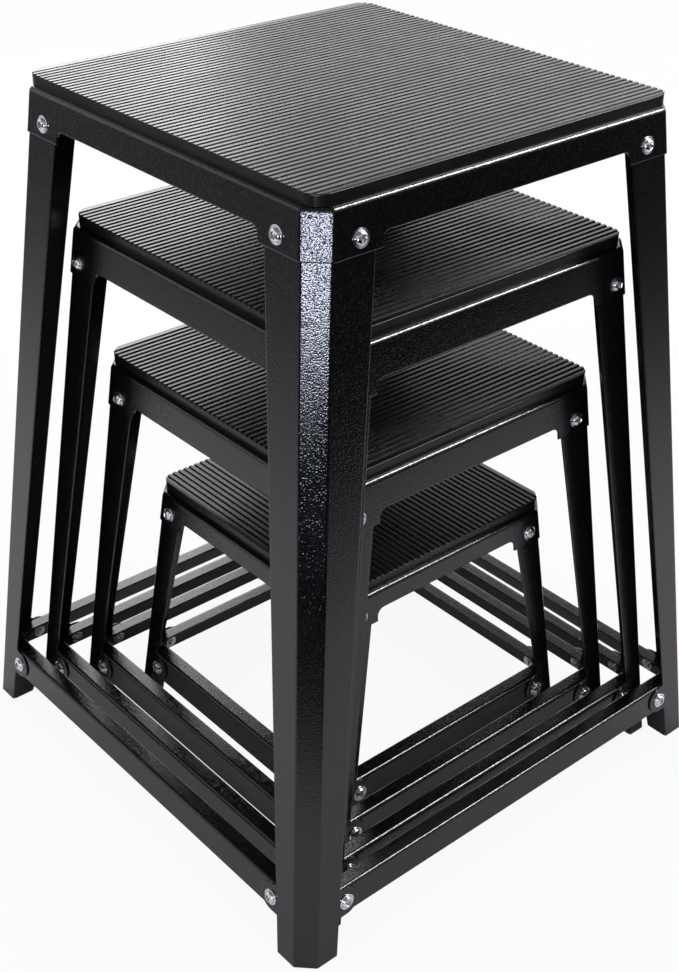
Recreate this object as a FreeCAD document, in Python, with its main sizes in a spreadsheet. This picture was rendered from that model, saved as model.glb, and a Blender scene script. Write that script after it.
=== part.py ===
import FreeCAD, Part
import math
import os
import Sketcher
from FreeCAD import Placement, Rotation, Vector

# A nested set of four steel plyo boxes, millimetres, +Z up, origin on the floor under the middle
# of the largest box. Each box is four bent corner legs, four angle rails near the floor, a folded
# top pan screwed over the leg tops, a ribbed rubber mat on the pan and a rubber plug in each foot.

# Sizes that all four boxes share.
shared_sizes = {
    "least_foot": 364.0,  # width of the smallest box over its leg faces, at the floor
    "pan_sheet": 2.0,  # steel of the top pan
    "leg_sheet": 2.0,  # steel of the legs
    "rail_sheet": 2.0,  # steel of the rails
    "pan_fold": 2.6,  # leg of the flat that stands for the pan's rounded fold
    "leg_bend": 3.0,  # outer radius of the folds in legs and rails, whose inside is left sharp
    "facet": 16.5,  # leg of the flat that cuts each outer corner
    "leg_gap": 0.5,  # from the leg tops to where the pan's fold starts
    "mat_high": 10.5,
    "mat_corner": 10.4,  # leg of the mat's cut corners
    "rib_pitch": 7.4,
    "groove_wide": 4.0,  # groove between two ribs, at the mat's top
    "groove_deep": 2.2,
    "ear_more": 13.5,  # how far an ear hangs below the skirt
    "ear_side": 3.0,  # how far an ear reaches past the leg's flange
    "ear_round": 9.0,  # radius between ear and skirt
    "screw_land": 14.0,  # from an ear's lower edge up to its screws
    "rail_low": 45.0,  # floor to the rail's lower edge
    "rail_high": 31.0,  # height of the rail's outer flange
    "rail_deep": 17.0,  # width of the rail's flat top flange
    "rail_room": 8.0,  # clear space between the ends of two rails at a corner
    "lug_out": 10.0,  # rail screw past the leg's foot flange
    "lug_root": 6.0,  # bevel where the lug leaves the leg's flange
    "sole": 1.5,  # rubber below the steel of the foot
    "plug_gap": 0.3,  # clearance of the plug in the leg
    "plug_corner": 13.0,  # leg of the plug's cut inner corner
    "plug_room": 2.0,  # from the plug's top to the rail
    "head_wide": 17.0,  # button head of the screws
    "head_high": 4.6,
    "nut_wide": 13.0,  # across the flats
    "nut_high": 6.5,
    "overrun": 20.0,  # how far the cuts pass what they cut
}
plug_room_share = 0.5  # of the nest gap that a foot plug may take up
lug_root_share = 0.8  # of the lug's straight top edge that its root bevel may take up

# Sizes of each box, from the smallest to the largest: its height above the one inside it, the inward
# lean of its legs, the legs' widths at top and foot, the pan's skirt, the ledge round the mat, and the
# distance of the upper screws from the corner.
box_sizes = {
    "box12": {"rise": 303.0, "lean_share": 0.1002, "leg_top": 53.0, "leg_foot": 31.0, "skirt": 21.8,
              "mat_inset": 6.0, "screw_reach": 33.0},
    "box18": {"rise": 155.0, "lean_share": 0.097, "leg_top": 60.0, "leg_foot": 35.5, "skirt": 33.3,
              "mat_inset": 6.0, "screw_reach": 36.5},
    "box24": {"rise": 154.0, "lean_share": 0.1027, "leg_top": 58.0, "leg_foot": 38.0, "skirt": 35.5,
              "mat_inset": 7.5, "screw_reach": 30.0},
    "box30": {"rise": 138.0, "lean_share": 0.1018, "leg_top": 66.0, "leg_foot": 42.0, "skirt": 30.5,
              "mat_inset": 5.5, "screw_reach": 45.5},
}
# Clear gap round a box, to the rails of the next larger one.
nest_gaps = {"box12": 25.1, "box18": 15.8, "box24": 14.4}
# How far a box stands off the middle of the next larger one, as shares of that gap along X and Y.
stand_off_shares = {"box12": (0.14, -0.09), "box18": (0.335, 0.05), "box24": (-0.035, -0.38)}

corner_names = ("back_right", "back_left", "front_left", "front_right")
side_names = ("right", "back", "left", "front")
quarter_turn = 90.0
diagonal = math.sqrt(2.0)
hexagon_corner_share = 1.0 / math.cos(math.pi / 6)
octagon_offset_share = 2 - diagonal  # change of a cut corner's leg when its outline is set off
head_sides = 10
nut_sides = 6

doc = FreeCAD.newDocument("plyo_boxes")
sheet = doc.addObject("Spreadsheet::Sheet", "Sizes")


class Size:
    # A number together with the sheet expression that gives it.
    def __init__(self, value, text):
        self.value = value
        self.text = text

    def __add__(self, other):
        return Size(self.value + other.value, f"({self.text} + {other.text})")

    def __sub__(self, other):
        return Size(self.value - other.value, f"({self.text} - {other.text})")

    def __mul__(self, other):
        other = as_size(other)
        return Size(self.value * other.value, f"({self.text} * {other.text})")

    def __truediv__(self, other):
        other = as_size(other)
        return Size(self.value / other.value, f"({self.text} / {other.text})")

    def __neg__(self):
        return Size(-self.value, f"(0 - {self.text})")


def as_size(number):
    return number if isinstance(number, Size) else Size(number, repr(number))


def larger(one, two):
    return Size(max(one.value, two.value), f"max({one.text}; {two.text})")


def smaller(one, two):
    return Size(min(one.value, two.value), f"min({one.text}; {two.text})")


zero = as_size(0)


def fill_sheet():
    # One row for each size: its name, its number and the name as the alias.
    named = dict(shared_sizes)
    for box, values in box_sizes.items():
        for name, value in values.items():
            named[f"{name}_{box}"] = value
    for box, gap in nest_gaps.items():
        named[f"nest_gap_{box}"] = gap
    sizes = {}
    for row, (name, value) in enumerate(named.items(), start=1):
        sheet.set(f"A{row}", name)
        sheet.set(f"B{row}", str(value))
        sheet.setAlias(f"B{row}", name)
        sizes[name] = Size(value, f"Sizes.{name}")
    doc.recompute()
    return sizes


size = fill_sheet()
pan_sheet = size["pan_sheet"]
leg_sheet = size["leg_sheet"]
rail_sheet = size["rail_sheet"]
facet = size["facet"]
overrun = size["overrun"]
rail_middle = size["rail_low"] + size["rail_high"] / 2
rail_top = size["rail_low"] + size["rail_high"]


class Box:
    # The heights and widths of one box, worked out from the box that nests inside it.
    def __init__(self, name, inner):
        self.name = name
        self.lean = size[f"lean_share_{name}"]
        self.leg_top = size[f"leg_top_{name}"]
        self.leg_foot = size[f"leg_foot_{name}"]
        rise = size[f"rise_{name}"]
        if inner is None:
            self.high = rise
            self.foot_half = size["least_foot"] / 2
            self.gap_inside = size["nest_gap_box12"]
        else:
            self.high = inner.high + rise
            self.gap_inside = size[f"nest_gap_{inner.name}"]
            self.foot_half = inner.foot_half + self.gap_inside + size["rail_deep"] + leg_sheet
        self.pan_top = self.high - size["mat_high"]
        self.skirt_low = self.pan_top - size[f"skirt_{name}"]
        self.ear_low = self.skirt_low - size["ear_more"]
        self.leg_high = self.pan_top - pan_sheet - size["pan_fold"] - size["leg_gap"]
        self.screw_reach = size[f"screw_reach_{name}"]
        self.screw_high = self.ear_low + size["screw_land"]
        self.lug_reach = self.leg_foot + size["lug_out"]
        self.off_x = zero
        self.off_y = zero

    def half(self, high):
        # Half width over the outer faces of the legs at a height.
        return self.foot_half - self.lean * high

    def place(self, quarter):
        # A piece made at the right or back right, turned to another side and moved to the box's spot.
        spot = Vector(self.off_x.value, self.off_y.value, 0)
        return Placement(spot, Rotation(Vector(0, 0, 1), quarter * quarter_turn))


def new_body(name):
    body = doc.addObject("PartDesign::Body", name)
    body.Label = name
    return body


def origin_feature(body, role):
    for feature in body.Origin.OriginFeatures:
        if feature.Role == role:
            return feature
    raise ValueError(f"no {role} in {body.Label}")


def bind(item, path, value):
    item.setExpression(path, value.text)


def draw(body, role, path, high=zero):
    # A closed sketch on one of the body's planes, lifted by a height. The path is a list of corners
    # (across, up); a corner with two more values starts an arc about that centre, counter-clockwise.
    sketch = body.newObject("Sketcher::SketchObject", f"{body.Label}_sketch")
    sketch.AttachmentSupport = [(origin_feature(body, role), "")]
    sketch.MapMode = "FlatFace"
    bind(sketch, "AttachmentOffset.Base.z", high)
    spots = [Vector(corner[0].value, corner[1].value, 0) for corner in path]
    for here, corner in enumerate(path):
        start = spots[here]
        end = spots[(here + 1) % len(path)]
        if len(corner) == 2:
            sketch.addGeometry(Part.LineSegment(start, end), False)
        else:
            centre = Vector(corner[2].value, corner[3].value, 0)
            first = math.atan2(start.y - centre.y, start.x - centre.x)
            last = math.atan2(end.y - centre.y, end.x - centre.x)
            circle = Part.Circle(centre, Vector(0, 0, 1), (start - centre).Length)
            sketch.addGeometry(Part.ArcOfCircle(circle, first, last), False)
    for here, corner in enumerate(path):
        sketch.addConstraint(Sketcher.Constraint("Coincident", here, 2, (here + 1) % len(path), 1))
        hold(sketch, here, 1, corner[0], corner[1])
        if len(corner) > 2:
            hold(sketch, here, 3, corner[2], None)
    return sketch


def hold(sketch, line, point, across, up):
    # Ties a point of the sketch to its two distances from the sketch's origin.
    for kind, axis, distance in (("DistanceX", -2, across), ("DistanceY", -1, up)):
        if distance is zero:
            sketch.addConstraint(Sketcher.Constraint("PointOnObject", line, point, axis))
        elif distance is not None:
            spot = sketch.addConstraint(Sketcher.Constraint(kind, -1, 1, line, point, distance.value))
            bind(sketch, f"Constraints[{spot}]", distance)


def octagon(half, cut):
    # Corners of a square with its corners cut, counter-clockwise from the right-hand side.
    near = half - cut
    quarter = [(half, near), (near, half)]
    return (quarter + [(-near, half), (-half, near)] + [(-half, -near), (-near, -half)]
            + [(near, -half), (half, -near)])


def ring(across, along, level):
    # A point and its quarter turns about the box's axis.
    return [(across, along, level), (-along, across, level), (-across, -along, level), (along, -across, level)]


def nearest(shapes, kind, spots):
    # Names of the edges or faces whose middles lie nearest to the given points.
    names = []
    for spot in spots:
        point = Vector(*[value.value for value in spot])
        distances = [(shape.CenterOfMass - point).Length for shape in shapes]
        names.append(f"{kind}{distances.index(min(distances)) + 1}")
    return names


def dress_edges(body, kind, spots, amount):
    # Rounds (Fillet) or bevels (Chamfer) the edges at the given points.
    base = body.Tip
    doc.recompute([base])
    dress = body.newObject(f"PartDesign::{kind}", f"{body.Label}_{kind.lower()}")
    dress.Base = (base, nearest(base.Shape.Edges, "Edge", spots))
    bind(dress, "Radius" if kind == "Fillet" else "Size", amount)


def lean_faces(body, spots, low, lean):
    # Leans upright faces inwards, about the edges of the body's lower face.
    base = body.Tip
    doc.recompute([base])
    draft = body.newObject("PartDesign::Draft", f"{body.Label}_draft")
    draft.Base = (base, nearest(base.Shape.Faces, "Face", spots))
    draft.NeutralPlane = (base, nearest(base.Shape.Faces, "Face", [(zero, zero, low)]))
    draft.setExpression("Angle", f"atan({lean.text})")


def pad_up(body, sketch, high, lean):
    # Pads a level section upwards while it leans towards the middle of the box.
    pad = body.newObject("PartDesign::Pad", f"{body.Label}_pad")
    pad.Profile = sketch
    pad.UseCustomVector = True
    pad.AlongSketchNormal = True
    pad.Direction = Vector(-lean.value, -lean.value, 1)
    bind(pad, "Direction.x", -lean)
    bind(pad, "Direction.y", -lean)
    bind(pad, "Length", high)
    return pad


def cut_through(body, sketch):
    # Cuts the sketch through the whole body, both ways, and makes sure that it took something off.
    base = body.Tip
    pocket = body.newObject("PartDesign::Pocket", f"{body.Label}_cut")
    pocket.Profile = sketch
    pocket.SideType = "Symmetric"
    pocket.Type = "ThroughAll"
    doc.recompute([pocket])
    if pocket.Shape.Volume >= base.Shape.Volume:
        raise ValueError(f"a cut missed {body.Label}")
    return pocket


def make_pan(box):
    # A folded tray: flat top, leaning skirt, and an ear at each corner that hangs over the leg top.
    body = new_body(f"{box.name}_top_pan")
    outer_cut = facet + pan_sheet * octagon_offset_share
    low = box.ear_low
    top = box.pan_top
    half = box.half(low) + pan_sheet
    pad_up(body, draw(body, "XY_Plane", octagon(half, outer_cut), low), top - low, zero)
    middle = (low + top) / 2
    slant = half - outer_cut / 2
    lean_faces(body, ring(half, zero, middle), low, box.lean)
    lean_faces(body, ring(slant, slant, middle), low, box.lean * diagonal)
    base = body.Tip
    doc.recompute([base])
    tray = body.newObject("PartDesign::Thickness", f"{body.Label}_tray")
    tray.Base = (base, nearest(base.Shape.Faces, "Face", [(zero, zero, low)]))
    tray.Join = "Intersection"
    tray.Reversed = True
    tray.setExpression("Value", f"{pan_sheet.text} * cos(atan({box.lean.text}))")
    inner_fold = size["pan_fold"] - pan_sheet * octagon_offset_share
    for level, wall, cut, fold in (
            (top, pan_sheet, outer_cut, size["pan_fold"]), (top - pan_sheet, zero, facet, inner_fold)):
        half = box.half(level) + wall
        slant = half - cut / 2
        dress_edges(body, "Chamfer", ring(half, zero, level) + ring(slant, slant, level), fold)
    radius = size["ear_round"]
    side = box.half(box.skirt_low) - box.leg_top - size["ear_side"]
    below = low - overrun
    turn = box.skirt_low - radius
    arch = [(-side, below), (side, below), (side, turn, side - radius, turn), (side - radius, box.skirt_low),
            (radius - side, box.skirt_low, radius - side, turn), (-side, turn)]
    for role in ("XZ_Plane", "YZ_Plane"):
        cut_through(body, draw(body, role, arch))
    body.Placement = box.place(0)
    return body


def make_mat(box):
    # A rubber slab with cut corners and a row of grooves that leave ribs between them.
    body = new_body(f"{box.name}_tread_mat")
    half = box.half(box.pan_top) + pan_sheet - size[f"mat_inset_{box.name}"]
    slab = draw(body, "XY_Plane", octagon(half, size["mat_corner"]), box.pan_top)
    pad_up(body, slab, size["mat_high"], zero)
    pitch = size["rib_pitch"]
    rib = pitch - size["groove_wide"]
    count = int((2 * half.value - rib.value) / pitch.value)
    first = -(pitch * ((count - 1) / 2))
    top = size["groove_wide"] / 2
    deep = box.high - size["groove_deep"]
    groove = [(first, deep), (first + top, box.high), (first - top, box.high)]
    across = box.name != "box12"  # the smallest mat has its ribs the other way
    role, axis = ("YZ_Plane", "Y_Axis") if across else ("XZ_Plane", "X_Axis")
    cut = cut_through(body, draw(body, role, groove))
    row = body.newObject("PartDesign::LinearPattern", f"{body.Label}_row")
    row.Originals = [cut]
    row.Direction = (origin_feature(body, axis), [""])
    row.Occurrences = count
    bind(row, "Length", pitch * (count - 1))
    body.Tip = row
    body.Placement = box.place(0)
    return body


def make_leg(box, quarter):
    # Sheet bent twice into flange, flat and flange, with a round-ended lug on each flange for the
    # rail. It leans inwards both ways, and its flanges widen towards the top.
    body = new_body(f"{box.name}_leg_{corner_names[quarter]}")
    low = size["sole"]
    lug_radius = size["rail_high"] / 2
    reach = larger(box.leg_top, box.lug_reach + lug_radius)
    inner_cut = facet + leg_sheet * (diagonal - 1)
    half = box.half(low)
    skin = half - leg_sheet
    section = [(half, half - reach), (half, half - facet), (half - facet, half), (half - reach, half),
               (half - reach, skin), (half - inner_cut, skin), (skin, half - inner_cut), (skin, half - reach)]
    pad_up(body, draw(body, "XY_Plane", section, low), box.leg_high - low, box.lean)
    middle = (low + box.leg_high) / 2
    wide = box.half(middle)
    folds = [(wide, wide - facet, middle), (wide - facet, wide, middle)]
    dress_edges(body, "Fillet", folds, size["leg_bend"])
    foot_edge = box.half(low) - box.leg_foot
    top_edge = box.half(box.leg_high) - box.leg_top
    taper = (top_edge - foot_edge) / (box.leg_high - low)
    lug = box.half(rail_middle) - box.lug_reach
    lug_top = foot_edge + taper * (rail_top - low)
    lug_foot = foot_edge + taper * (size["rail_low"] - low)
    below = low - overrun
    above = box.leg_high + overrun
    far = box.half(box.leg_high) - reach - overrun
    waste = [(top_edge + taper * overrun, above), (lug_top, rail_top), (lug, rail_top, lug, rail_middle),
             (lug, size["rail_low"]), (lug_foot, size["rail_low"]), (foot_edge - taper * overrun, below),
             (far, below), (far, above)]
    for role in ("XZ_Plane", "YZ_Plane"):
        cut_through(body, draw(body, role, waste))
    root = box.half(rail_top) - leg_sheet / 2
    bevel = smaller(size["lug_root"], (lug_top - lug) * lug_root_share)
    dress_edges(body, "Chamfer", [(root, lug_top, rail_top), (lug_top, root, rail_top)], bevel)
    body.Placement = box.place(quarter)
    return body


def make_rail(box, quarter):
    # An angle section whose outer flange leans with the legs and bolts behind their lugs.
    body = new_body(f"{box.name}_rail_{side_names[quarter]}")
    low = size["rail_low"]
    outer = box.half(low) - leg_sheet
    top = box.half(rail_top) - leg_sheet
    under = rail_top - rail_sheet
    notch = box.half(under) - leg_sheet - rail_sheet
    inner = top - size["rail_deep"]
    section = [(outer, low), (top, rail_top), (inner, rail_top), (inner, under), (notch, under),
               (outer - rail_sheet, low)]
    pad = body.newObject("PartDesign::Pad", f"{body.Label}_pad")
    pad.Profile = draw(body, "XZ_Plane", section)
    pad.SideType = "Symmetric"
    start = leg_sheet + size["rail_deep"] + size["rail_room"]
    bind(pad, "Length", (box.half(rail_middle) - start) * 2)
    dress_edges(body, "Fillet", [(top, zero, rail_top)], size["leg_bend"])
    body.Placement = box.place(quarter)
    return body


def group(name, pieces):
    # Separate solids of one kind under one name.
    together = doc.addObject("Part::Compound", name)
    together.Label = name
    together.Links = pieces
    return together


def make_feet(box):
    # A rubber plug inside each leg's foot, level with the flanges' free edges.
    plugs = []
    for quarter, corner in enumerate(corner_names):
        body = new_body(f"{box.name}_plug_{corner}")
        reach = box.leg_foot
        inset = leg_sheet + size["plug_gap"]
        cut = facet + inset * (diagonal - 1)
        room = (leg_sheet + size["rail_deep"] + box.gap_inside * plug_room_share) * 2 + facet
        across = smaller(room, reach * 2 - size["plug_corner"])
        half = box.half(zero)
        skin = half - inset
        inner = half - reach
        bevel = half - across + reach
        section = [(skin, inner), (skin, half - cut), (half - cut, skin), (inner, skin), (inner, bevel),
                   (bevel, inner)]
        pad_up(body, draw(body, "XY_Plane", section), size["rail_low"] - size["plug_room"], box.lean)
        body.Placement = box.place(quarter)
        plugs.append(body)
    return group(f"{box.name}_feet", plugs)


def seats(box, quarter, outset):
    # Places for the four fasteners of one side, two above and two on the rail: each is set off the
    # legs' leaning outer face by its row's outset, with its axis square to that face.
    tilt = math.degrees(math.atan(box.lean.value))
    rise = math.hypot(1, box.lean.value)
    spots = []
    for row, (high, reach) in enumerate(((box.screw_high, box.screw_reach), (rail_middle, box.lug_reach))):
        half = box.half(high)
        for way in (-1, 1):
            along = way * (half.value - reach.value)
            out = Vector(1 / rise, 0, box.lean.value / rise) * outset[row].value
            spot = Vector(half.value, along, high.value) + out
            seat = Placement(spot, Rotation(Vector(0, 1, 0), quarter_turn - tilt))
            spots.append(box.place(quarter).multiply(seat))
    return spots


def make_fasteners(box, kind, outset, sides, corner, high):
    # Sixteen prisms, four on each side of the box.
    pieces = []
    for quarter in range(len(side_names)):
        for seat in seats(box, quarter, outset):
            piece = doc.addObject("Part::Prism", f"{box.name}_{kind}")
            piece.Polygon = sides
            bind(piece, "Circumradius", corner)
            bind(piece, "Height", high)
            piece.Placement = seat
            pieces.append(piece)
    return group(f"{box.name}_{kind}s", pieces)


def make_screws(box):
    # Button heads, seated on the pan's ears and on the legs' lugs.
    return make_fasteners(box, "screw", (pan_sheet, zero), head_sides, size["head_wide"] / 2, size["head_high"])


def make_nuts(box):
    # Hexagon nuts inside, on the legs' flanges above and on the rails below.
    deep = size["nut_high"]
    outset = (-leg_sheet - deep, -leg_sheet - rail_sheet - deep)
    return make_fasteners(box, "nut", outset, nut_sides, size["nut_wide"] / 2 * hexagon_corner_share, deep)


def nested_boxes():
    # The four boxes with their sizes, and the spots on which the photographed set stands.
    boxes = []
    for name in box_sizes:
        boxes.append(Box(name, boxes[-1] if boxes else None))
    for inner, outer in reversed(list(zip(boxes, boxes[1:]))):
        share_x, share_y = stand_off_shares[inner.name]
        inner.off_x = outer.off_x + outer.gap_inside * share_x
        inner.off_y = outer.off_y + outer.gap_inside * share_y
    return boxes


def make_box(box):
    nodes = [make_pan(box), make_mat(box)]
    for quarter in range(len(corner_names)):
        nodes.append(make_leg(box, quarter))
        nodes.append(make_rail(box, quarter))
    nodes += [make_feet(box), make_screws(box), make_nuts(box)]
    return nodes


nodes = []
for box in nested_boxes():
    nodes += make_box(box)
doc.recompute()

for item in doc.Objects:
    if "Invalid" in item.State or "Error" in item.State:
        raise ValueError(f"{item.Label} failed: {item.State}")
for node in nodes:
    if node.Shape.isNull() or not node.Shape.isValid():
        raise ValueError(f"{node.Label} has no valid shape")

os.makedirs("parts", exist_ok=True)
for node in nodes:
    node.Shape.exportStep(f"parts/{node.Label}.step")
    print(node.Label, len(node.Shape.Solids), round(node.Shape.Volume))
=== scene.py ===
import math

import bmesh
import bpy
import numpy as np
from mathutils import Matrix, Vector


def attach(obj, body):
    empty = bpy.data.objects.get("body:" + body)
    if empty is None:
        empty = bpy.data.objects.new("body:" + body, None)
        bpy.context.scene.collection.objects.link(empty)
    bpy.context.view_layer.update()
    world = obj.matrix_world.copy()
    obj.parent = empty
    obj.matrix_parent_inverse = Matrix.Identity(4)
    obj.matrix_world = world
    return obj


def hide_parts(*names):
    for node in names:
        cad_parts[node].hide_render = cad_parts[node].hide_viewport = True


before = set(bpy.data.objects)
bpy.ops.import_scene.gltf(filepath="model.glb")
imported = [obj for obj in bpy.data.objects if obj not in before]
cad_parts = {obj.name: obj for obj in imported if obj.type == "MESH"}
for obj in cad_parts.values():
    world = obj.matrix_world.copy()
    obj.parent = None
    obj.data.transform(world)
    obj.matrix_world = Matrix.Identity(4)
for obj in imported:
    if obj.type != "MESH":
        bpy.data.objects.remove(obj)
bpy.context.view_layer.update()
mm = 0.001

# The four boxes in millimetres, as the solids have them: height, half width over the legs at the floor,
# inward lean, leg widths at top and foot, skirt, ledge round the mat, upper screws from the corner,
# clear gap to the box inside, and where the box stands
boxes = {
    "box30": dict(high=750.0, foot=294.3, lean=0.1018, legTop=66.0, legFoot=42.0, skirt=30.5, ledge=5.5,
                  screwReach=45.5, gap=14.4, spot=(0.0, 0.0), ribsAlong="x"),
    "box24": dict(high=612.0, foot=260.9, lean=0.1027, legTop=58.0, legFoot=38.0, skirt=35.5, ledge=7.5,
                  screwReach=30.0, gap=15.8, spot=(-0.504, -5.472), ribsAlong="x"),
    "box18": dict(high=458.0, foot=226.1, lean=0.097, legTop=60.0, legFoot=35.5, skirt=33.3, ledge=6.0,
                  screwReach=36.5, gap=25.1, spot=(4.789, -4.682), ribsAlong="x"),
    "box12": dict(high=303.0, foot=182.0, lean=0.1002, legTop=53.0, legFoot=31.0, skirt=21.8, ledge=6.0,
                  screwReach=33.0, gap=25.1, spot=(8.303, -6.941), ribsAlong="y"),
}
cornerNames = ("back_right", "back_left", "front_left", "front_right")
sideNames = ("right", "back", "left", "front")
sheet = 2.0  # steel of pans, legs and rails
facet, facetMore = 16.5, 1.7  # leg of the flat on each outer corner at the foot, and what it gains to the top
matHigh = 10.5
railLow, railHigh, railDeep = 45.0, 31.0, 17.0
railTop = railLow + railHigh
railMiddle = railLow + railHigh / 2
edgeKeep, bendKeep = 0.8, 1.0  # a column this far from an edge or a bend keeps the flat beside it flat
easing = 0.3  # how far in the middle of an eased edge lies, as a share of its width


def halfAt(box, z):
    # half width over the legs at a height: the foot's, less the lean
    return box["foot"] - box["lean"] * z


def facetAt(box, z):
    # leg of the corner flat at a height
    return facet + facetMore * z / box["high"]


# materials

def tone(code):
    # sRGB hex to linear, with alpha
    parts = np.array([int(code[i:i + 2], 16) / 255 for i in (1, 3, 5)])
    linear = np.where(parts <= 0.04045, parts / 12.92, ((parts + 0.055) / 1.055) ** 2.4)
    return tuple(float(v) for v in linear) + (1.0,)


def put(tree, kind, settings=None, inputs=None):
    # one node with its settings; an input is a value or another node's output
    node = tree.nodes.new(kind)
    for key, value in (settings or {}).items():
        setattr(node, key, value)
    for key, value in (inputs or {}).items():
        if isinstance(value, bpy.types.NodeSocket):
            tree.links.new(value, node.inputs[key])
        else:
            node.inputs[key].default_value = value
    return node


def startMaterial(name):
    # an empty material, and the piece's own coordinates
    material = bpy.data.materials.new(name)
    material.use_nodes = True
    tree = material.node_tree
    tree.nodes.clear()
    return material, tree, put(tree, "ShaderNodeTexCoord").outputs["Object"]


noiseSpan = (0.3, 0.72)  # nearly all values of a noise texture lie in here

# sizes in millimetres: pebbles and grains, how far the hollows between pebbles go down, a grain's radius
# as a share of the grain spacing, its height, and the patches of gloss; the colour is painted shade, darker in the
# hollows between pebbles than on their tops
powderCoat = dict(pebble=1.5, scatter=0.85, deep=0.095, hollowShadeAt=0.4, grain=2.5, grainWide=0.42, grainHigh=0.075,
                  drift=60.0, driftSpan=(0.3, 0.7), dark="#070709", light="#0f0f12", rough=(0.11, 0.16), ior=1.5)


def makePowderCoat(s):
    # textured black powder coat, sprayed and baked on steel: a skin of low round pebbles with steeper grains,
    # which break a highlight into sparks, and a slow drift of gloss where the film is thicker;
    # both are drawn about three times too coarse, so that they show at this distance
    material, tree, spot = startMaterial("blackPowderCoat")
    pebble = put(tree, "ShaderNodeTexVoronoi", None,
                 {"Vector": spot, "Scale": 1 / (s["pebble"] * mm), "Randomness": s["scatter"]})
    dome = put(tree, "ShaderNodeMath", {"operation": "POWER"}, {0: pebble.outputs["Distance"], 1: 2.0})
    drift = put(tree, "ShaderNodeTexNoise", None,
                {"Vector": spot, "Scale": 1 / (s["drift"] * mm), "Detail": 3.0, "Roughness": 0.6})
    # painted shade: the colour darkens from each pebble's top into the hollow round it
    hollowShade = put(tree, "ShaderNodeMapRange", None, {"Value": dome.outputs[0], "From Max": s["hollowShadeAt"]})
    colour = put(tree, "ShaderNodeMix", {"data_type": "RGBA"},
                 {0: hollowShade.outputs[0], 6: tone(s["light"]), 7: tone(s["dark"])})
    rough = put(tree, "ShaderNodeMapRange", None,
                {"Value": drift.outputs["Fac"], "From Min": s["driftSpan"][0], "From Max": s["driftSpan"][1],
                 "To Min": s["rough"][0], "To Max": s["rough"][1]})
    speck = put(tree, "ShaderNodeTexVoronoi", None, {"Vector": spot, "Scale": 1 / (s["grain"] * mm)})
    cap = put(tree, "ShaderNodeMath", {"operation": "POWER"}, {0: speck.outputs["Distance"], 1: 2.0})
    grain = put(tree, "ShaderNodeMapRange", None,
                {"Value": cap.outputs[0], "From Max": s["grainWide"] ** 2,
                 "To Min": s["grainHigh"], "To Max": 0.0})
    relief = put(tree, "ShaderNodeMath", {"operation": "MULTIPLY_ADD"},
                 {0: dome.outputs[0], 1: -s["deep"], 2: grain.outputs[0]})  # in millimetres
    bump = put(tree, "ShaderNodeBump", None, {"Height": relief.outputs[0], "Distance": mm})
    coat = put(tree, "ShaderNodeBsdfPrincipled", None,
               {"Base Color": colour.outputs[2], "Roughness": rough.outputs[0],
                "Normal": bump.outputs["Normal"], "IOR": s["ior"]})
    put(tree, "ShaderNodeOutputMaterial", None, {"Surface": coat.outputs["BSDF"]})
    return material


treadRubber = dict(grit=1.1, patch=45.0, dark="#0e0e0f", light="#151516", rough=(0.25, 0.31),
                   bump=0.12, deep=0.03, ior=1.34)
plugRubber = dict(grit=1.2, patch=18.0, dark="#0b0b0c", light="#171718", rough=(0.7, 0.85),
                  bump=0.3, deep=0.1, ior=1.5)


def makeRubber(name, s):
    # black rubber, extruded as ribbed matting or moulded as plugs: half matt to matt, with a fine grit from
    # roller or mould and faint dusty patches
    material, tree, spot = startMaterial(name)
    grit = put(tree, "ShaderNodeTexNoise", None, {"Vector": spot, "Scale": 1 / (s["grit"] * mm), "Detail": 2.0})
    patch = put(tree, "ShaderNodeTexNoise", None, {"Vector": spot, "Scale": 1 / (s["patch"] * mm), "Detail": 4.0})
    dust = put(tree, "ShaderNodeMapRange", None,
               {"Value": patch.outputs["Fac"], "From Min": noiseSpan[0], "From Max": noiseSpan[1]})
    colour = put(tree, "ShaderNodeMix", {"data_type": "RGBA"},
                 {0: dust.outputs[0], 6: tone(s["dark"]), 7: tone(s["light"])})
    rough = put(tree, "ShaderNodeMapRange", None,
                {"Value": dust.outputs[0], "To Min": s["rough"][0], "To Max": s["rough"][1]})
    bump = put(tree, "ShaderNodeBump", None,
               {"Height": grit.outputs["Fac"], "Strength": s["bump"], "Distance": s["deep"] * mm})
    rubber = put(tree, "ShaderNodeBsdfPrincipled", None,
                 {"Base Color": colour.outputs[2], "Roughness": rough.outputs[0],
                  "Normal": bump.outputs["Normal"], "IOR": s["ior"]})
    put(tree, "ShaderNodeOutputMaterial", None, {"Surface": rubber.outputs["BSDF"]})
    return material


screwZinc = dict(haze=1.6, dark="#c6c7ca", light="#eeeeef", rough=(0.12, 0.24), bump=0.15, deep=0.05)
nutZinc = dict(haze=2.2, dark="#cfd0d2", light="#f2f2f3", rough=(0.24, 0.38), bump=0.2, deep=0.05)


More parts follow.
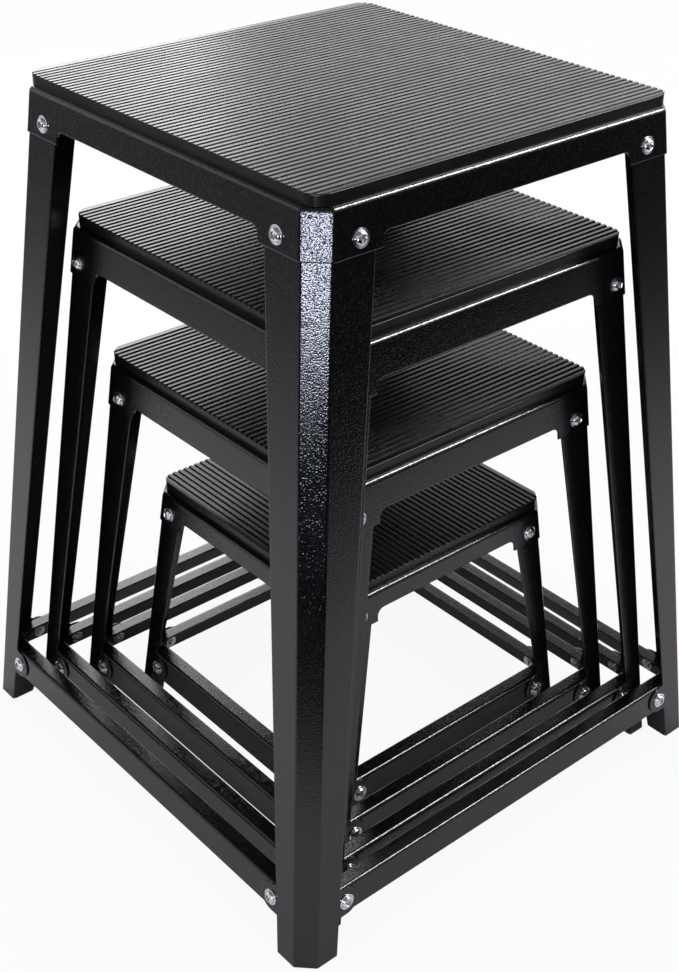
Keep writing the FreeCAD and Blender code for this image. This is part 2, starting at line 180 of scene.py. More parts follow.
def makeZincSteel(name, s):
    # bright zinc plate on cold-headed steel: a pale grey mirror with a soft haze and small tool marks
    material, tree, spot = startMaterial(name)
    haze = put(tree, "ShaderNodeTexNoise", None, {"Vector": spot, "Scale": 1 / (s["haze"] * mm), "Detail": 3.0})
    share = put(tree, "ShaderNodeMapRange", None,
                {"Value": haze.outputs["Fac"], "From Min": noiseSpan[0], "From Max": noiseSpan[1]})
    colour = put(tree, "ShaderNodeMix", {"data_type": "RGBA"},
                 {0: share.outputs[0], 6: tone(s["dark"]), 7: tone(s["light"])})
    rough = put(tree, "ShaderNodeMapRange", None,
                {"Value": share.outputs[0], "To Min": s["rough"][0], "To Max": s["rough"][1]})
    bump = put(tree, "ShaderNodeBump", None,
               {"Height": haze.outputs["Fac"], "Strength": s["bump"], "Distance": s["deep"] * mm})
    zinc = put(tree, "ShaderNodeBsdfPrincipled", None,
               {"Base Color": colour.outputs[2], "Roughness": rough.outputs[0],
                "Normal": bump.outputs["Normal"], "Metallic": 1.0})
    put(tree, "ShaderNodeOutputMaterial", None, {"Surface": zinc.outputs["BSDF"]})
    return material


materials = {
    "powder_coat": makePowderCoat(powderCoat),
    "mat_rubber": makeRubber("ribbedTreadRubber", treadRubber),
    "foot_rubber": makeRubber("mouldedPlugRubber", plugRubber),
    "screw_steel": makeZincSteel("brightZincScrew", screwZinc),
    "nut_steel": makeZincSteel("brightZincNut", nutZinc),
}
print("materials made:", len(materials))


# mesh helpers

def quadGrid(rows, cols):
    # quads of a grid whose columns close into a ring
    index = np.arange(rows * cols).reshape(rows, cols)
    after = np.roll(index, -1, axis=1)
    return np.stack([index[:-1], after[:-1], after[1:], index[1:]], -1).reshape(-1, 4).tolist()


def cappedGrid(rows, cols):
    # the same, with a flat lid on the first and the last ring
    return quadGrid(rows, cols) + [tuple(range(cols))[::-1], tuple(range((rows - 1) * cols, rows * cols))]


def turned(points, quarter, spot):
    # quarter turns about the upright axis, then the box's own spot
    angle = quarter * math.pi / 2
    turn = np.array([[math.cos(angle), -math.sin(angle), 0], [math.sin(angle), math.cos(angle), 0], [0, 0, 1]])
    return points @ turn.T + np.array([spot[0], spot[1], 0.0])


def addPiece(boxName, part, points, faces, slotName, sharp=38.0):
    # a mesh from points in millimetres; it rides on its box and stands for the node of the same name
    mesh = bpy.data.meshes.new(f"{boxName}_{part}_look")
    mesh.from_pydata((np.asarray(points).reshape(-1, 3) * mm).tolist(), [], faces)
    work = bmesh.new()
    work.from_mesh(mesh)
    bmesh.ops.recalc_face_normals(work, faces=work.faces)
    work.to_mesh(mesh)
    work.free()
    mesh.polygons.foreach_set("use_smooth", np.ones(len(mesh.polygons), bool))
    mesh.set_sharp_from_angle(angle=math.radians(sharp))
    mesh.materials.append(materials[slotName])
    piece = bpy.data.objects.new(mesh.name, mesh)
    bpy.context.scene.collection.objects.link(piece)
    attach(piece, boxName)
    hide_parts(f"{boxName}_{part}")


def unit(v):
    # the same directions, of length one
    return v / np.linalg.norm(v, axis=-1, keepdims=True)


def leftOf(way):
    # a quarter turn to the left of a direction in the plane
    return np.stack([-way[..., 1], way[..., 0]], -1)


def turnBetween(before, after):
    # angle from one direction in the plane to the next, to the left
    return np.arctan2(before[..., 0] * after[..., 1] - before[..., 1] * after[..., 0], (before * after).sum(-1))


def foldedLoop(corners, radius, lip, steps):
    # Outline of a bent sheet. corners (..., k, 2) run along its outer face from free edge to free edge;
    # at each inner corner the outer face follows an arc of the radius and the inner face an arc of radius
    # minus the sheet about the same centre. The free edges are eased by the lip, and a column close to each
    # edge and arc keeps the flats flat.
    count = corners.shape[-2]
    outer, inner = [], []

    def both(point, inward):
        outer.append(point)
        inner.append(point + inward * sheet)

    for k in range(count):
        here = corners[..., k, :]
        before = unit(here - corners[..., k - 1, :]) if k else None
        after = unit(corners[..., k + 1, :] - here) if k < count - 1 else None
        if before is None:
            for share in (lip, lip + edgeKeep):
                both(here + after * share, leftOf(after))
        elif after is None:
            for share in (lip + edgeKeep, lip):
                both(here - before * share, leftOf(before))
        else:
            turn = turnBetween(before, after)
            reach = (radius * np.tan(turn / 2))[..., None]
            inward = leftOf(before)
            centre = here - before * reach + inward * radius
            both(here - before * (reach + bendKeep), inward)
            for share in np.linspace(0, 1, steps):
                c, s = np.cos(turn * share), np.sin(turn * share)
                out = -np.stack([inward[..., 0] * c - inward[..., 1] * s,
                                 inward[..., 0] * s + inward[..., 1] * c], -1)
                outer.append(centre + out * radius)
                inner.append(centre + out * (radius - sheet))
            both(here + after * (reach + bendKeep), leftOf(after))

    def easedEdge(edge, along):
        # four points round a free edge, from the outer to the inner face
        inward = leftOf(along)
        back = -1 if edge else 1
        tip = corners[..., -1 if edge else 0, :]
        near, far = easing * lip, sheet - lip
        return [tip + along * back * a + inward * b
                for a, b in ((near, near), (0, lip), (0, far), (near, sheet - near))]

    firstWay = unit(corners[..., 1, :] - corners[..., 0, :])
    lastWay = unit(corners[..., -1, :] - corners[..., -2, :])
    loop = outer + easedEdge(1, lastWay) + inner[::-1] + easedEdge(0, firstWay)[::-1]
    # the lid: quads from the outer to the inner face, and one face round each eased edge
    n = len(outer)
    lid = [(i, i + 1, 2 * n + 2 - i, 2 * n + 3 - i) for i in range(n - 1)]
    lid += [tuple(range(n - 1, n + 5)), tuple(range(2 * n + 3, 2 * n + 8)) + (0,)]
    return np.stack(loop, -2), lid


def sweptFaces(rows, cols, lid):
    # walls of a swept outline and a lid at both ends
    last = (rows - 1) * cols
    return quadGrid(rows, cols) + [f[::-1] for f in lid] + [tuple(i + last for i in f) for f in lid]


# legs: level section flange, flat, flange, carried up the leaning corner; the width of the flanges
# follows the outline of their free edge, taper and round-ended lug

legLook = dict(bend=3.2, lip=0.8, bendSteps=6, sole=1.5, belowPan=15.6, lugOut=10.0, lugSteps=15,
               lugRoot=8.0, rootShare=0.8, rootSteps=7, under=0.15, within=0.05, over=0.02)


def makeLeg(boxName, box, quarter, s):
    top = box["high"] - s["belowPan"]
    slope = (box["legTop"] - box["legFoot"]) / (top - s["sole"])

    def taper(z):
        # free edge of the plain flange, from the box's middle
        return halfAt(box, z) - box["legFoot"] - slope * (z - s["sole"])

    lug = halfAt(box, railMiddle) - box["legFoot"] - s["lugOut"]
    lugRadius = railHigh / 2
    root = min(s["lugRoot"], s["rootShare"] * (taper(railTop) - lug))
    swing = np.linspace(-math.pi / 2, math.pi / 2, s["lugSteps"])
    blend = np.linspace(0, math.pi / 2, s["rootSteps"])
    # under, within and over keep the rows apart where the edge runs level
    zs = np.concatenate([[s["sole"], railLow - s["under"]],
                         railMiddle + (lugRadius - s["within"]) * np.sin(swing),
                         railTop + s["over"] + root * (1 - np.cos(blend)), [top]])
    edge = np.concatenate([[taper(s["sole"]), taper(railLow)], lug - lugRadius * np.cos(swing),
                           taper(railTop) - root * (1 - np.sin(blend)), [taper(top)]])
    edge[-2] = taper(zs[-2])
    half, cut = halfAt(box, zs), facetAt(box, zs)
    corners = np.stack([np.stack([half, edge], -1), np.stack([half, half - cut], -1),
                        np.stack([half - cut, half], -1), np.stack([edge, half], -1)], -2)
    loop, lid = foldedLoop(corners, s["bend"], s["lip"], s["bendSteps"])
    rows, cols = loop.shape[:2]
    points = np.concatenate([loop, np.broadcast_to(zs[:, None, None], (rows, cols, 1))], -1).reshape(-1, 3)
    addPiece(boxName, f"leg_{cornerNames[quarter]}", turned(points, quarter, box["spot"]),
             sweptFaces(rows, cols, lid), "powder_coat")


# rails: angle section carried straight along the side

railLook = dict(bend=3.6, lip=0.8, bendSteps=8, room=8.0)


def makeRail(boxName, box, quarter, s):
    corners = np.array([[halfAt(box, railLow) - sheet, railLow], [halfAt(box, railTop) - sheet, railTop],
                        [halfAt(box, railTop) - sheet - railDeep, railTop]])
    loop, lid = foldedLoop(corners, s["bend"], s["lip"], s["bendSteps"])
    length = halfAt(box, railMiddle) - sheet - railDeep - s["room"]
    ends = np.array([-length, length])
    cols = len(loop)
    points = np.stack([np.tile(loop[:, 0], 2), np.repeat(ends, cols), np.tile(loop[:, 1], 2)], -1)
    addPiece(boxName, f"rail_{sideNames[quarter]}", turned(points, quarter, box["spot"]),
             sweptFaces(2, cols, lid), "powder_coat")


# top pan: the profile flat, fold, skirt, lower edge and back up inside is carried round an octagon with
# eased corners; the lower edge hangs down in an ear at each corner

panLook = dict(fold=3.7, foldSteps=8, cornerBend=3.6, cornerSteps=6, lip=0.8, flat=2.0,
               earMore=13.5, earSide=3.0, earRound=9.0, earSteps=8, earStraight=0.12, earFlat=6.0)


def makePan(boxName, box, s):
    top = box["high"] - matHigh
    skirtLow = top - box["skirt"]
    earLow = skirtLow - s["earMore"]
    side = halfAt(box, skirtLow) - box["legTop"] - s["earSide"]
    cut = facetAt(box, top) + sheet * (2 - math.sqrt(2))
    bend, earRound = s["cornerBend"], s["earRound"]
    tangent = bend * math.tan(math.pi / 8)
    # columns of one quarter: x = ax h + bx - d nx, y = ay h + by - d ny, and the height of the lower edge
    sweep = np.linspace(0, math.pi / 2, s["earSteps"])
    ys = np.concatenate([[0.0], side - earRound + earRound * np.sin(sweep),
                         [side + s["earStraight"], side + s["earFlat"]]])
    lows = np.concatenate([[skirtLow], skirtLow - earRound + earRound * np.cos(sweep), [earLow, earLow]])
    one, nil = np.ones_like(ys), np.zeros_like(ys)
    flatPart = np.stack([one, nil, nil, ys, one, nil, lows], -1)
    a = np.linspace(0, math.pi / 4, s["cornerSteps"])
    one, low = np.ones_like(a), np.full_like(a, earLow)
    cornerPart = np.stack([one, bend * (np.cos(a) - 1), one, -cut - tangent + bend * np.sin(a),
                           np.cos(a), np.sin(a), low], -1)
    before = np.array([[1, 0, 1, -cut - tangent - bendKeep, 1, 0, earLow]])
    half = np.concatenate([flatPart, before, cornerPart])
    mirrored = half[::-1][:, [2, 3, 0, 1, 5, 4, 6]]
    quarter = np.concatenate([half, mirrored[:-1]])
    # profile rows: inset d and height z; the rows of the lower edge count from that edge
    t = np.linspace(0, math.pi / 2, s["foldSteps"])
    fold, lip, near = s["fold"], s["lip"], easing * s["lip"]
    foldLow = top - fold
    d = np.concatenate([[fold + s["flat"]], fold - fold * np.sin(t),
                        [0, 0, 0, near, lip, sheet - lip, sheet - near, sheet, sheet, sheet],
                        fold - (fold - sheet) * np.sin(t[::-1]), [fold + s["flat"]]])
    edgeUp = [lip + edgeKeep, lip, near, 0, 0, near, lip, lip + edgeKeep]
    z = np.concatenate([[top], foldLow + fold * np.cos(t),
                        [foldLow - bendKeep], edgeUp, [foldLow - bendKeep],
                        foldLow + (fold - sheet) * np.cos(t[::-1]), [top - sheet]])
    fromLow = np.zeros(len(d), bool)
    fromLow[len(t) + 2:len(t) + 2 + len(edgeUp)] = True
    heights = np.where(fromLow[:, None], z[:, None] + quarter[None, :, 6], z[:, None])
    h = halfAt(box, heights) + sheet
    ax, bx, ay, by, nx, ny = quarter[:, :6].T
    x = ax * h + bx - d[:, None] * nx
    y = ay * h + by - d[:, None] * ny
    quarterPoints = np.stack([x, y, heights], -1).reshape(-1, 3)
    points = np.concatenate([turned(quarterPoints, k, box["spot"]).reshape(len(d), -1, 3) for k in range(4)], 1)
    addPiece(boxName, "top_pan", points, cappedGrid(*points.shape[:2]), "powder_coat")


# tread mat: across it the height follows steep-sided ribs with flat tops; along it each rib runs from end to
# end, shorter in the round corners, and rolls over its ends

# across and down: shares of the pitch across one rib, and how far down the groove each lies; rimAcross and
# rimDown: the same from the plain rim in to the last groove, across in millimetres
matLook = dict(pitch=7.4, groove=4.0, deep=1.35, corner=16.0, roll=0.6, sharp=50.0,
               across=(-0.5, -0.4, -0.315, -0.297, -0.287, -0.264, -0.256, -0.244, -0.2,
                       0.0, 0.2, 0.244, 0.256, 0.264, 0.287, 0.297, 0.315, 0.4),
               down=(1.0, 1.0, 1.0, 0.98, 0.9, 0.18, 0.06, 0.0, 0.0,
                     0.0, 0.0, 0.0, 0.06, 0.18, 0.9, 0.98, 1.0, 1.0),
               rimAcross=(1.95, 1.75, 1.45, 0.0), rimDown=(0.0, 0.18, 0.9, 1.0))


def makeMat(boxName, box, s):
    top, low = box["high"], box["high"] - matHigh
    half = halfAt(box, low) + sheet - box["ledge"]
    pitch, roll, corner = s["pitch"], s["roll"], s["corner"]
    grooves = int((2 * half - (pitch - s["groove"])) / pitch)
    ribs = grooves - 1
    centres = (np.arange(ribs) - (ribs - 1) / 2) * pitch
    across = (centres[:, None] + np.array(s["across"]) * pitch).ravel()
    drop = np.tile(s["down"], ribs)
    lastGroove = grooves * pitch / 2 - pitch / 2
    rim = np.concatenate([[half, half - easing * roll, half - roll], lastGroove + np.array(s["rimAcross"])])
    rimDrop = np.concatenate([[roll / s["deep"], easing * roll / s["deep"], 0], s["rimDown"]])
    across = np.concatenate([-rim, across[1:], rim[::-1]])
    drop = np.concatenate([rimDrop, drop[1:], rimDrop[::-1]])
    crest = top - s["deep"] * drop
    past = np.maximum(0, np.abs(across) - (half - corner))  # into the round of the corner
    length = half - corner + np.sqrt(corner ** 2 - past ** 2)
    # ring of each column: up one end, over its roll, along the top, down the other end
    inset = np.array([0, 0, 0, easing * roll, roll, roll + bendKeep])
    down = np.array([0, roll + bendKeep, roll, easing * roll, 0, 0])
    along = np.concatenate([inset - length[:, None], (length[:, None] - inset)[:, ::-1]], 1)
    high = crest[:, None] - np.concatenate([down, down[::-1]])
    high[:, [0, -1]] = low
    wide = np.broadcast_to(across[:, None], along.shape)
    plan = (along, wide) if box["ribsAlong"] == "x" else (wide, along)
    points = np.stack([plan[0], plan[1], high], -1)
    addPiece(boxName, "tread_mat", turned(points.reshape(-1, 3), 0, box["spot"]),
             cappedGrid(*points.shape[:2]), "mat_rubber", s["sharp"])


# fasteners: rings of radius and height about an axis, set on the leaning faces

seatLook = dict(aboveEar=14.0, turnEach=2.4, sharp=30.0)  # height over the ear's lower edge, turn in radians


def seats(box, outsets):
    # place, outward axis and sideways axis of the sixteen fasteners: two above and two on the rail of each side
    rise = math.hypot(1, box["lean"])
    out = np.array([1 / rise, 0, box["lean"] / rise])
    upper = box["high"] - matHigh - box["skirt"] - panLook["earMore"] + seatLook["aboveEar"]
    found = []
    for quarter in range(4):
        for z, reach, outset in ((upper, box["screwReach"], outsets[0]),
                                 (railMiddle, box["legFoot"] + legLook["lugOut"], outsets[1])):
            for way in (-1, 1):
                spot = np.array([halfAt(box, z), way * (halfAt(box, z) - reach), z]) + out * outset
                origin = turned(spot[None], quarter, box["spot"])[0]
                axis = turned(out[None], quarter, (0, 0))[0]
                side = turned(np.array([[0.0, 1.0, 0.0]]), quarter, (0, 0))[0]
                found.append((origin, axis, side))
    return found


def hexRadius(angles, flats):
    # distance from the axis to a hexagon's side
    return flats / 2 / np.cos((angles + math.pi / 6) % (math.pi / 3) - math.pi / 6)


def addFasteners(boxName, part, box, outsets, rings, heights, inward, slotName):
    # the same lathe grid at every seat, each turned a different amount about its axis
    rows, cols = rings.shape
    faces = cappedGrid(rows, cols)
    points, allFaces = [], []
    for k, (origin, axis, side) in enumerate(seats(box, outsets)):
        angles = np.arange(cols) * 2 * math.pi / cols + seatLook["turnEach"] * k
        up = -axis if inward else axis
        other = np.cross(up, side)
        ring = np.cos(angles)[:, None] * side + np.sin(angles)[:, None] * other
        points.append((origin + rings[..., None] * ring + heights[:, None, None] * up).reshape(-1, 3))
        allFaces += [tuple(i + k * rows * cols for i in f) for f in faces]
    addPiece(boxName, part, np.concatenate(points), allFaces, slotName, seatLook["sharp"])


# edgeIn and edgeDown round the flange's edge, from its radius and its top; ringOut and ringDown hollow the ring
# round the dome, from the dome's radius and the flange's top; socketShares, mouth and cone ease the socket's
# mouth and floor, as shares of its hexagon and as heights
screwLook = dict(sides=24, flange=8.5, flangeHigh=1.25, edgeIn=(0.0, 0.0, 0.12, 0.45, 0.9),
                 edgeDown=(1.25, 0.45, 0.12, 0.0, 0.02), ringOut=(0.35, 0.1), ringDown=(0.3, 0.25),
                 head=6.5, high=4.4, rim=3.75, domeStart=0.1, domeSteps=6, socket=5.7, socketDeep=2.8,
                 socketShares=(1.06, 1.0, 1.0, 0.5), mouth=(0.02, 0.2), cone=0.4)


def makeScrews(boxName, box, s):
    # flanged button head: flange with a rounded edge, a hollow ring, an elliptic dome and a hexagon socket
    angles = np.arange(s["sides"]) * 2 * math.pi / s["sides"]
    arc = np.linspace(s["domeStart"], math.acos(s["rim"] / s["head"]), s["domeSteps"])
    base = s["flangeHigh"]
    radii = np.concatenate([s["flange"] - np.array(s["edgeIn"]), s["head"] + np.array(s["ringOut"]),
                            s["head"] * np.cos(arc)])
    floor = s["high"] - s["socketDeep"]
    highs = np.concatenate([base - np.array(s["edgeDown"]), base - np.array(s["ringDown"]),
                            base + (s["high"] - base) * np.sin(arc) / math.sin(arc[-1]),
                            [s["high"] + s["mouth"][0], s["high"] - s["mouth"][1], floor, floor - s["cone"]]])
    hexagon = hexRadius(angles, s["socket"])
    rings = np.concatenate([np.repeat(radii[:, None], s["sides"], 1),
                            np.array(s["socketShares"])[:, None] * hexagon])
    addFasteners(boxName, "screws", box, (sheet, 0.0), rings, highs, False, "screw_steel")


# chamferAt: heights of the cone's rows from either end; mouthOut and mouthDown: from the thread and the nut's
# face; the threads rise from threadFrom below that face, threadShare of them to the length of the tip
nutLook = dict(sides=24, flats=13.0, high=6.5, chamfer=6.35, coneSlope=1.75, chamferAt=(0.0, 0.3, 0.62),
               bolt=4.0, mouthOut=(0.7, 0.1), mouthDown=(0.0, 0.5), threads=5, threadDeep=0.32, threadFrom=0.3,
               threadShare=5.5, tip=2.6, tipIn=0.7)


def makeNuts(boxName, box, s):
    # hexagon nut with both ends chamfered by a cone, and the threaded end of the screw in it
    angles = np.arange(s["sides"]) * 2 * math.pi / s["sides"]
    ends = np.array(s["chamferAt"])
    z = np.concatenate([ends, s["high"] - ends[::-1]])
    cone = s["chamfer"] + s["coneSlope"] * np.minimum(z, s["high"] - z)
    body = np.minimum(hexRadius(angles, s["flats"])[None], cone[:, None])
    turns = np.arange(1, s["threads"] + 1)
    crest = s["bolt"] - s["threadDeep"] * (turns % 2)
    radii = np.concatenate([s["bolt"] + np.array(s["mouthOut"]), crest, [s["bolt"] - s["tipIn"]]])
    highs = s["high"] + np.concatenate([-np.array(s["mouthDown"]),
                                        -s["threadFrom"] + s["tip"] * turns / s["threadShare"], [s["tip"]]])
    rings = np.concatenate([body, np.repeat(radii[:, None], s["sides"], 1)])
    addFasteners(boxName, "nuts", box, (-sheet, -2 * sheet), rings, np.concatenate([z, highs]), True, "nut_steel")


# foot plugs: level outline with rounded corners, carried up with the leg's lean, its edges rolled; gap is the
# room left to the steel, corner the least cut of the inner corner

plugLook = dict(high=43.0, gap=0.3, corner=13.0, roundness=2.0, edge=1.2, cornerSteps=5)


def makeFeet(boxName, box, s):
    reach, inset = box["legFoot"], sheet + s["gap"]
    cut = facet + inset * (math.sqrt(2) - 1)
    room = (sheet + railDeep + box["gap"] / 2) * 2 + facet  # keeps the inner corner clear of the next box
    bevel = min(room, reach * 2 - s["corner"]) - reach
    corners = -np.array([[inset, reach], [inset, cut], [cut, inset], [reach, inset], [reach, bevel], [bevel, reach]])
    before = unit(corners - np.roll(corners, 1, 0))
    after = unit(np.roll(corners, -1, 0) - corners)
    turn = turnBetween(before, after)
    radius = s["roundness"]
    inward = leftOf(before)
    centre = corners - before * (radius * np.tan(turn / 2))[:, None] + inward * radius
    share = turn[:, None] * np.linspace(0, 1, s["cornerSteps"])
    out = -np.stack([inward[:, :1] * np.cos(share) - inward[:, 1:] * np.sin(share),
                     inward[:, :1] * np.sin(share) + inward[:, 1:] * np.cos(share)], -1)
    edge, eased = s["edge"], easing * s["edge"]
    rowInset = np.array([edge, eased, 0, 0, eased, edge])
    z = np.array([0, eased, edge, s["high"] - edge, s["high"] - eased, s["high"]])
    flatOut = out.reshape(-1, 2)
    base = np.repeat(centre, s["cornerSteps"], 0)
    level = base[None] + flatOut[None] * (radius - rowInset[:, None, None]) + halfAt(box, z)[:, None, None]
    rows, cols = level.shape[:2]
    points = np.concatenate([level, np.broadcast_to(z[:, None, None], (rows, cols, 1))], -1).reshape(-1, 3)
    faces = cappedGrid(rows, cols)
    allPoints = np.concatenate([turned(points, k, box["spot"]) for k in range(4)])
    allFaces = [tuple(i + k * rows * cols for i in f) for k in range(4) for f in faces]
    addPiece(boxName, "feet", allPoints, allFaces, "foot_rubber")


for boxName, box in boxes.items():
    makePan(boxName, box, panLook)
    makeMat(boxName, box, matLook)
    for quarter in range(4):
        makeLeg(boxName, box, quarter, legLook)
        makeRail(boxName, box, quarter, railLook)
    makeFeet(boxName, box, plugLook)
    makeScrews(boxName, box, screwLook)
    makeNuts(boxName, box, nutLook)
    print("dressed", boxName)


# studio: pale paper floor, white surround, soft lamps

# liftEye and liftGloss: how much of plain white the floor shows to the camera and to reflections; sweep and
# overhead: heights over which the surround dims, and to what; behind, inFront and clearing: where it dims
# towards the front, to what, and how soon it clears above the horizon
studio = dict(floor=7.0, floorTone="#f0f0f0", liftEye=0.92, liftGloss=0.25, surround=0.9,
              sweep=(0.42, 0.64), overhead=0.2, behind=(-0.3, 0.1), inFront=0.2, clearing=1.8)
# sheet under the object, seen in reflections only, with a painted pool of light: which way its back lies, where the
# light painted on it fades to painted shade towards the front edge and to both sides, in metres
paintedPool = dict(back=(0.35, 0.936), front=(-1.0, -0.6), middle=(0.0, 0.1), side=(0.9, 2.0), sideShare=0.25,
             light="#f8f8ff", dark="#141414", high=0.004)


def whiteToTheEye(tree, eye, gloss):
    # how much of the plain white shows: rays from the camera, and reflections and rays through glass
    path = put(tree, "ShaderNodeLightPath")
    other = put(tree, "ShaderNodeMath", {"operation": "MAXIMUM"},
                {0: path.outputs["Is Glossy Ray"], 1: path.outputs["Is Transmission Ray"]})
    dimmed = put(tree, "ShaderNodeMath", {"operation": "MULTIPLY"}, {0: other.outputs[0], 1: gloss})
    direct = put(tree, "ShaderNodeMath", {"operation": "MULTIPLY"}, {0: path.outputs["Is Camera Ray"], 1: eye})
    return put(tree, "ShaderNodeMath", {"operation": "MAXIMUM"},
               {0: direct.outputs[0], 1: dimmed.outputs[0]}).outputs[0]


def addSquare(name, w, z, material):
    # a level square of half width w, kept as stage
    mesh = bpy.data.meshes.new(name)
    mesh.from_pydata([(-w, -w, z), (w, -w, z), (w, w, z), (-w, w, z)], [], [(0, 1, 2, 3)])
    mesh.materials.append(material)
    square = bpy.data.objects.new(name, mesh)
    bpy.context.scene.collection.objects.link(square)
    return square


def makeFloor(s):
    # matt pale paint that the camera sees nearly white, so that a faint shadow stays on it
    material, tree, _ = startMaterial("paleStudioFloor")
    paint = put(tree, "ShaderNodeBsdfDiffuse", None, {"Color": tone(s["floorTone"])})
    glow = put(tree, "ShaderNodeEmission", None, {"Color": (1, 1, 1, 1), "Strength": 1.0})
    mix = put(tree, "ShaderNodeMixShader", None,
              {0: whiteToTheEye(tree, s["liftEye"], s["liftGloss"]), 1: paint.outputs[0], 2: glow.outputs[0]})
    put(tree, "ShaderNodeOutputMaterial", None, {"Surface": mix.outputs[0]})
    addSquare("studioFloor", s["floor"], 0.0, material)


def makeSurround(s):
    # an even soft light; the camera sees it white, and reflections see white behind and to the sides like a
    # paper sweep, dimmer overhead and, near the horizon, in front
    world = bpy.data.worlds.new("studioSurround")
    world.use_nodes = True
    tree = world.node_tree
    tree.nodes.clear()
    soft = put(tree, "ShaderNodeBackground", None, {"Color": (1, 1, 1, 1), "Strength": s["surround"]})
    ray = put(tree, "ShaderNodeTexCoord").outputs["Generated"]
    way = put(tree, "ShaderNodeSeparateXYZ", None, {0: ray})
    deep = put(tree, "ShaderNodeVectorMath", {"operation": "DOT_PRODUCT"},
               {0: ray, 1: paintedPool["back"] + (s["clearing"],)})
    front = put(tree, "ShaderNodeMapRange", {"interpolation_type": "SMOOTHSTEP"},
                {"Value": deep.outputs["Value"], "From Min": s["behind"][0], "From Max": s["behind"][1],
                 "To Min": s["inFront"]})
    dim = put(tree, "ShaderNodeMapRange", None,
              {"Value": way.outputs["Z"], "From Min": s["sweep"][0], "From Max": s["sweep"][1],
               "To Min": 1.0, "To Max": s["overhead"]})
    share = put(tree, "ShaderNodeMath", {"operation": "MULTIPLY"}, {0: dim.outputs[0], 1: front.outputs[0]})
    level = put(tree, "ShaderNodeMath", {"operation": "MAXIMUM"},
                {0: share.outputs[0], 1: put(tree, "ShaderNodeLightPath").outputs["Is Camera Ray"]})
    white = put(tree, "ShaderNodeBackground", None, {"Color": (1, 1, 1, 1), "Strength": level.outputs[0]})
    mix = put(tree, "ShaderNodeMixShader", None,
              {0: whiteToTheEye(tree, 1.0, 1.0), 1: soft.outputs[0], 2: white.outputs[0]})
    put(tree, "ShaderNodeOutputWorld", None, {"Surface": mix.outputs[0]})
    bpy.context.scene.world = world


def makePaintedPool(s):
    # a sheet on the floor that only reflections see, with light and shade painted into its colour: white under the
    # object as a painted pool of light, dark in front of its edge and towards the sides as painted shade
    material, tree, spot = startMaterial("paintedPoolAndShade")
    bx, by = s["back"]
    offset = put(tree, "ShaderNodeVectorMath", {"operation": "SUBTRACT"}, {0: spot, 1: s["middle"] + (0.0,)})
    deep = put(tree, "ShaderNodeVectorMath", {"operation": "DOT_PRODUCT"}, {0: spot, 1: (bx, by, 0.0)})
    wide = put(tree, "ShaderNodeVectorMath", {"operation": "DOT_PRODUCT"},
               {0: offset.outputs[0], 1: (by, -bx, 0.0)})
    aside = put(tree, "ShaderNodeMath", {"operation": "ABSOLUTE"}, {0: wide.outputs["Value"]})
    front = put(tree, "ShaderNodeMapRange", {"interpolation_type": "SMOOTHSTEP"},
                {"Value": deep.outputs["Value"], "From Min": s["front"][0], "From Max": s["front"][1]})
    side = put(tree, "ShaderNodeMapRange", None,
               {"Value": aside.outputs[0], "From Min": s["side"][0], "From Max": s["side"][1],
                "To Min": 1.0, "To Max": s["sideShare"]})
    share = put(tree, "ShaderNodeMath", {"operation": "MULTIPLY"}, {0: front.outputs[0], 1: side.outputs[0]})
    # painted light and shade: the mask gives white where the pool of light is painted and dark where shade is
    # painted
    shade = put(tree, "ShaderNodeMix", {"data_type": "RGBA"},
                {0: share.outputs[0], 6: tone(s["dark"]), 7: tone(s["light"])})
    paint = put(tree, "ShaderNodeBsdfDiffuse", None, {"Color": shade.outputs[2]})
    put(tree, "ShaderNodeOutputMaterial", None, {"Surface": paint.outputs[0]})
    cover = addSquare("paintedPoolSheet", studio["floor"], s["high"], material)
    cover.visible_camera = cover.visible_diffuse = cover.visible_shadow = False


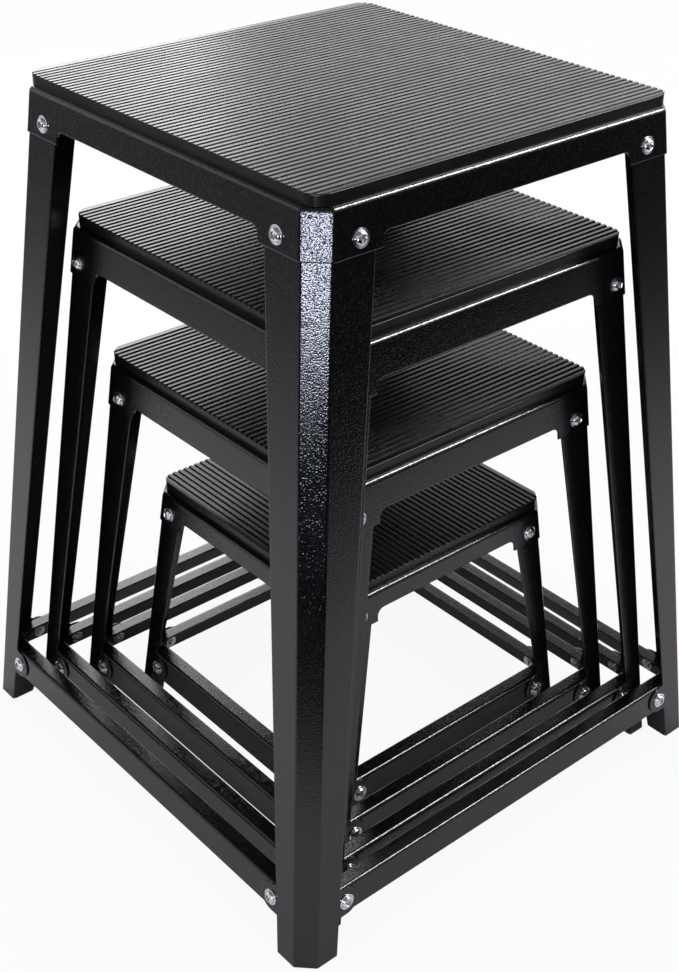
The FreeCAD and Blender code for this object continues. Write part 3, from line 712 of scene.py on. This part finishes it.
# the lamps that aren't matt only make highlights, so the light on the object stays plain
lamps = {
    "backSoftbox": dict(place=(1.0, 2.35, 1.5), aim=(0, 0, 0.7), size=(1.0, 1.2), watts=15.5, roll=0,
                        tint="#ffffff", matt=True),
    "farBackdrop": dict(place=(3.4, 3.65, 2.23), aim=(0, 0, 0.75), size=(3.6, 0.9), watts=20, roll=0,
                        tint="#ffffff", matt=True),
    "rightSoftbox": dict(place=(1.04, -0.81, 1.8), aim=(0, -0.2, 0.6), size=(1.0, 0.6), watts=60, roll=-49,
                         tint="#ffffff", matt=False),
    "frontLow": dict(place=(-1.66, -1.45, 0.54), aim=(-0.2, -0.2, 0.68), size=(0.36, 0.26), watts=14.5, roll=0,
                     tint="#e4eaff", matt=False),
}


def aimed(place, aim, roll):
    # turn whose -Z looks from place to aim, rolled about that line by degrees
    back = (Vector(place) - Vector(aim)).normalized()
    right = Vector((0, 0, 1)).cross(back).normalized()
    up = back.cross(right)
    c, s = math.cos(math.radians(roll)), math.sin(math.radians(roll))
    turn = Matrix((right * c + up * s, up * c - right * s, back)).transposed().to_4x4()
    turn.translation = Vector(place)
    return turn


def makeLamp(name, s):
    light = bpy.data.lights.new(name, "AREA")
    light.shape = "RECTANGLE"
    light.size, light.size_y = s["size"]
    light.energy = s["watts"]
    light.color = tone(s["tint"])[:3]
    lamp = bpy.data.objects.new(name, light)
    bpy.context.scene.collection.objects.link(lamp)
    lamp.matrix_world = aimed(s["place"], s["aim"], s["roll"])
    lamp.visible_camera = False
    lamp.visible_diffuse = s["matt"]


# camera solved from the photograph: azimuth and elevation in degrees, focal length and centre in its pixels
view = dict(azimuth=-41.106, elevation=31.505, roll=0.723, distance=1.5344, aim=(-0.06871, -0.08075, 0.36885),
            focal=1516.5, wide=679, tall=972, centre=341.2, sensor=36.0)


def makeCamera(s):
    az, el = math.radians(s["azimuth"]), math.radians(s["elevation"])
    back = np.array([math.sin(az) * math.cos(el), -math.cos(az) * math.cos(el), math.sin(el)])
    place = np.array(s["aim"]) + back * s["distance"]
    camera = bpy.data.cameras.new("photoCamera")
    camera.sensor_fit = "VERTICAL"
    camera.sensor_height = s["sensor"]
    camera.lens = s["focal"] / s["tall"] * s["sensor"]
    camera.shift_x = (s["wide"] / 2 - s["centre"]) / s["tall"]
    holder = bpy.data.objects.new("photoCamera", camera)
    bpy.context.scene.collection.objects.link(holder)
    holder.matrix_world = aimed(tuple(place), s["aim"], s["roll"])
    bpy.context.scene.camera = holder


makeFloor(studio)
makeSurround(studio)
makePaintedPool(paintedPool)
for lampName, lampLook in lamps.items():
    makeLamp(lampName, lampLook)
makeCamera(view)
bpy.context.scene.view_settings.view_transform = "Standard"
print("studio, lamps and camera set")
